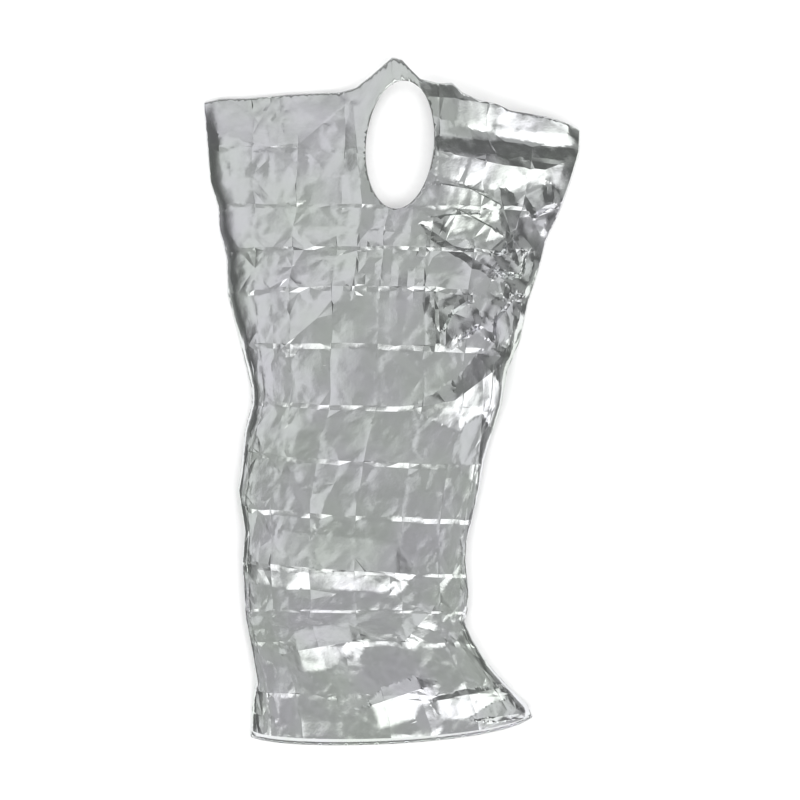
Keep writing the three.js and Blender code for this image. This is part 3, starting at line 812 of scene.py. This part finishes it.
def painted_reflection_inside_material():
    """The film's inner side, painted a plain pale colour with a soft satin gloss: a painted reflection,
    standing for the bright studio light that the silver inner face would mirror.
    """
    material, tree, shader = principled("foil_inside")
    film = film_vector(tree)
    haze = linked(tree, "ShaderNodeTexNoise", {"Vector": film, "Scale": 90.0, "Detail": 3.0})
    shade = linked(tree, "ShaderNodeValToRGB", {"Fac": haze.outputs["Fac"]})
    # Painted reflection: a pale grey to white, with random tone from the noise, in place of the bright
    # light that the silver inner face would mirror
    shade.color_ramp.elements[0].color = (0.90, 0.90, 0.90, 1)
    shade.color_ramp.elements[1].color = (0.95, 0.95, 0.95, 1)
    tree.links.new(shade.outputs["Color"], shader.inputs["Base Color"])
    bump = linked(tree, "ShaderNodeBump", {
        "Height": haze.outputs["Fac"], "Strength": 0.2, "Distance": 0.0005,
    })
    tree.links.new(bump.outputs["Normal"], shader.inputs["Normal"])
    shader.inputs["Roughness"].default_value = 0.42
    return material


# The studio above: soft panels, told by where their middle and their half sizes lie on the sky seen
# from straight above, where 0 is overhead and 1 is the horizon
PANELS = [
    {"middle": (0.30, -0.50), "half": (0.46, 0.28), "turn": 24, "colour": (1.0, 1.0, 1.0), "light": 1.0},
    {"middle": (-0.26, 0.02), "half": (0.20, 0.16), "turn": 0, "colour": (0.96, 0.96, 1.0), "light": 0.30},
    {"middle": (-0.20, 0.40), "half": (0.40, 0.22), "turn": 0, "colour": (0.98, 0.98, 1.0), "light": 0.34},
]
PANEL_SOFTNESS = 0.7
SKY_MIDDLE = (-0.04, -0.14)
# How bright the sky is at places from its middle
SKY = [
    (0.0, 0.34), (0.1, 0.39), (0.3, 0.47), (0.42, 0.42),
    (0.55, 0.28), (0.72, 0.13), (0.85, 0.13), (1.0, 0.34),
]
SKY_TINT = (0.985, 1.0, 0.99)
BACKDROP = 0.92
# The numbers of the sockets that share their name with others on their node
VECTOR_A = 0
VECTOR_B = 1
MIX_COLOUR_A = 6
MIX_COLOUR_B = 7
MIX_COLOUR_RESULT = 2


def studio_world():
    """Soft light from all around, with the panels in it. The camera sees a plain pale backdrop."""
    world = bpy.data.worlds.new("soft_studio")
    world.use_nodes = True
    tree = world.node_tree
    background = tree.nodes["Background"]
    direction = linked(tree, "ShaderNodeTexCoord", {}).outputs["Generated"]
    split = linked(tree, "ShaderNodeSeparateXYZ", {"Vector": direction})
    flat = linked(tree, "ShaderNodeCombineXYZ", {"X": split.outputs["X"], "Y": split.outputs["Y"]})
    spread = linked(tree, "ShaderNodeVectorMath", {
        VECTOR_A: flat.outputs["Vector"], VECTOR_B: (*SKY_MIDDLE, 0),
    }, operation="DISTANCE")
    sky = linked(tree, "ShaderNodeValToRGB", {"Fac": spread.outputs["Value"]})
    ramp = sky.color_ramp.elements
    while len(ramp) < len(SKY):
        ramp.new(0.5)
    for element, (place, light) in zip(ramp, SKY):
        element.position = place
        element.color = (*(light * part for part in SKY_TINT), 1)
    total = sky.outputs["Color"]
    for panel in PANELS:
        total = with_panel(tree, total, flat.outputs["Vector"], panel)
    path = linked(tree, "ShaderNodeLightPath", {})
    seen = linked(tree, "ShaderNodeMix", {
        "Factor": path.outputs["Is Camera Ray"], MIX_COLOUR_A: total,
    }, data_type="RGBA")
    seen.inputs[MIX_COLOUR_B].default_value = (BACKDROP, BACKDROP, BACKDROP, 1)
    tree.links.new(seen.outputs[MIX_COLOUR_RESULT], background.inputs["Color"])
    bpy.context.scene.world = world


def with_panel(tree, total, flat, panel):
    """The light so far with one soft panel added to it."""
    middle, half = panel["middle"], panel["half"]
    moved = linked(tree, "ShaderNodeVectorMath", {
        VECTOR_A: flat, VECTOR_B: (*middle, 0),
    }, operation="SUBTRACT")
    turned = linked(tree, "ShaderNodeMapping", {"Vector": moved.outputs["Vector"]})
    turned.inputs["Rotation"].default_value = (0, 0, math.radians(-panel["turn"]))
    sized = linked(tree, "ShaderNodeVectorMath", {
        VECTOR_A: turned.outputs["Vector"], VECTOR_B: (1 / half[0], 1 / half[1], 1),
    }, operation="MULTIPLY")
    out = linked(tree, "ShaderNodeVectorMath", {VECTOR_A: sized.outputs["Vector"]}, operation="LENGTH")
    mask = linked(tree, "ShaderNodeMapRange", {
        "Value": out.outputs["Value"],
        "From Min": 1 + PANEL_SOFTNESS / 2, "From Max": 1 - PANEL_SOFTNESS / 2,
        "To Min": 0.0, "To Max": 1.0,
    }, interpolation_type="SMOOTHSTEP")
    glow = linked(tree, "ShaderNodeVectorMath", {
        VECTOR_A: tuple(panel["light"] * part for part in panel["colour"]),
        "Scale": mask.outputs["Result"],
    }, operation="SCALE")
    summed = linked(tree, "ShaderNodeVectorMath", {
        VECTOR_A: total, VECTOR_B: glow.outputs["Vector"],
    }, operation="ADD")
    return summed.outputs["Vector"]


# The floor, the camera and the lamps. The photo's frame is as wide as the mouth makes it.
FLOOR_RADIUS = 9.0
FLOOR_CORNERS = 96
FLOOR_COLOUR = (0.93, 0.93, 0.93, 1)
CAMERA_PLACE = (0.0193, 0.0038)
CAMERA_LENS = 85.0
SENSOR = 36.0
MOUTH_PIXELS = 378
FRAME_PIXELS = 800
VIEW_WIDTH = MOUTH_WIDTH / MOUTH_PIXELS * FRAME_PIXELS
LAMP_SIZE = 5.0
LAMP_HEIGHT = 3.2
LAMP_PLACES = [(3.6, -2.6), (-3.6, -2.6), (0.0, 3.8)]
LAMP_POWER = 150.0


def floor():
    """A plain pale floor, as a round plate whose edge lies far away."""
    material, tree, shader = principled("pale_floor")
    shader.inputs["Base Color"].default_value = FLOOR_COLOUR
    shader.inputs["Roughness"].default_value = 0.9
    shader.inputs["Specular IOR Level"].default_value = 0.1
    angles = np.linspace(0, 2 * math.pi, FLOOR_CORNERS, endpoint=False)
    ring = [(FLOOR_RADIUS * math.cos(a), FLOOR_RADIUS * math.sin(a), 0) for a in angles]
    mesh = bpy.data.meshes.new("floor")
    mesh.from_pydata(ring, [], [tuple(range(len(ring)))])
    mesh.materials.append(material)
    plate = bpy.data.objects.new("floor", mesh)
    bpy.context.collection.objects.link(plate)


def lamps():
    """Large soft lamps that brighten the floor and aren't mirrored by the foil."""
    for i, (x, y) in enumerate(LAMP_PLACES):
        light = bpy.data.lights.new(f"soft_lamp_{i}", "AREA")
        light.shape = "DISK"
        light.size = LAMP_SIZE
        light.energy = LAMP_POWER
        lamp = bpy.data.objects.new(f"soft_lamp_{i}", light)
        lamp.location = (x, y, LAMP_HEIGHT)
        aim = Vector((0, 0, 0)) - lamp.location
        lamp.rotation_euler = aim.to_track_quat("-Z", "Y").to_euler()
        lamp.visible_glossy = False
        bpy.context.collection.objects.link(lamp)


def camera():
    """Straight above the bag, as far away as makes the frame the photo's width."""
    data = bpy.data.cameras.new("camera")
    data.lens = CAMERA_LENS
    data.sensor_width = SENSOR
    eye = bpy.data.objects.new("camera", data)
    middle_height = CAD_BOX[1][2] / 2
    eye.location = (*CAMERA_PLACE, middle_height + VIEW_WIDTH * CAMERA_LENS / SENSOR)
    bpy.context.collection.objects.link(eye)
    bpy.context.scene.camera = eye


def dressed():
    """Both sheets, in place of the solids that they stand for."""
    foil, inside = foil_material(), painted_reflection_inside_material()
    front = front_sheet([foil, inside])
    # The back sheet's top face, seen through the face opening, has the pale colour painted for the bright
    # reflection of its silver inner face
    back = back_sheet([inside, foil])
    for piece, node, slot in ((front, "front_panel", "foil"), (back, "back_panel", "foil_inside")):
        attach(piece, "root")
        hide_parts(node)


camera()
floor()
lamps()
studio_world()
dressed()
bpy.context.scene.view_settings.view_transform = "Standard"
